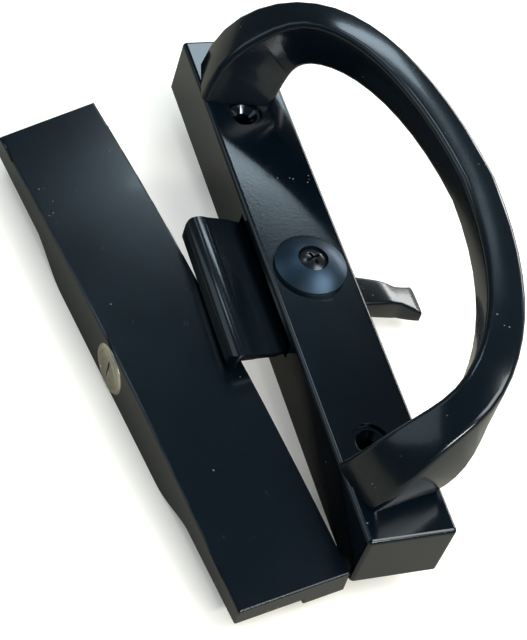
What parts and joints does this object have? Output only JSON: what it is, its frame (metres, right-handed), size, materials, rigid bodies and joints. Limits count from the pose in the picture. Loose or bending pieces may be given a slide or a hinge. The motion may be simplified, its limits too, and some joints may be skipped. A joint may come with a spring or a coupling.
{
  "type": "sliding door lock set",
  "caption": "Sliding-door lock set: inside case with a D-shaped pull handle, snib lever and hook bolt, and an outside pull with a key cylinder.",
  "frame": {"origin": "centre of the flat back of the inside case", "axes": "+X from the case towards the snib lever, +Y along the case, +Z out of the case's face"},
  "size_m": [0.1315, 0.2053, 0.0722],
  "materials": {
    "gloss_paint": "gloss",
    "cap_paint": "satin",
    "bright_steel": "satin",
    "plated_steel": "satin",
    "nickel": "satin",
    "wafer_brass": "satin"
  },
  "bodies": {
    "frame": {"lock_case": "gloss_paint", "back_plate": "plated_steel", "plate_screws": "bright_steel", "d_handle": "gloss_paint", "handle_screws": "bright_steel", "hook_pin": "bright_steel", "lever_pin": "bright_steel", "pin_clips": "plated_steel", "detent_ball": "bright_steel", "detent_spring": "bright_steel", "dome_cap": "cap_paint", "cap_screw": "bright_steel", "cap_bridge": "plated_steel", "outer_pull": "gloss_paint", "cylinder_shell": "nickel", "base_plate": "plated_steel", "base_screws": "bright_steel", "cylinder_clip": "plated_steel"},
    "lever": {"snib_lever": "gloss_paint"},
    "hook": {"hook_bolt": "gloss_paint"},
    "plug": {"key_plug": "nickel", "wafers": "wafer_brass", "wafer_springs": "bright_steel", "cylinder_cam": "plated_steel", "cam_screw": "bright_steel"},
    "slider": {"drive_slider": "plated_steel"}
  },
  "joints": [
    {"name": "lever_swing", "type": "hinge", "parent": "frame", "child": "lever", "pos_m": [0.0065, 0, 0.0075], "axis": [0, -1, 0], "range_deg": [0, 15]},
    {"name": "hook_swing", "type": "hinge", "parent": "frame", "child": "hook", "pos_m": [-0.0065, 0, 0.0075], "axis": [0, 1, 0], "range_deg": [0, 15]},
    {"name": "plug_turn", "type": "hinge", "parent": "frame", "child": "plug", "pos_m": [-0.06488, -0.01439, -0.00303], "axis": [0.9846, 0.156, 0.0785], "range_deg": [0, 90]},
    {"name": "slider_travel", "type": "slide", "parent": "frame", "child": "slider", "axis": [-0.0775, -0.0123, 0.9969], "range_m": [0, 0.00495]}
  ],
  "couplings": [
    {"joint": "hook_swing", "follows": "lever_swing", "ratio": 1},
    {"joint": "slider_travel", "follows": "plug_turn", "m_per_rad": 0.00315}
  ]
}
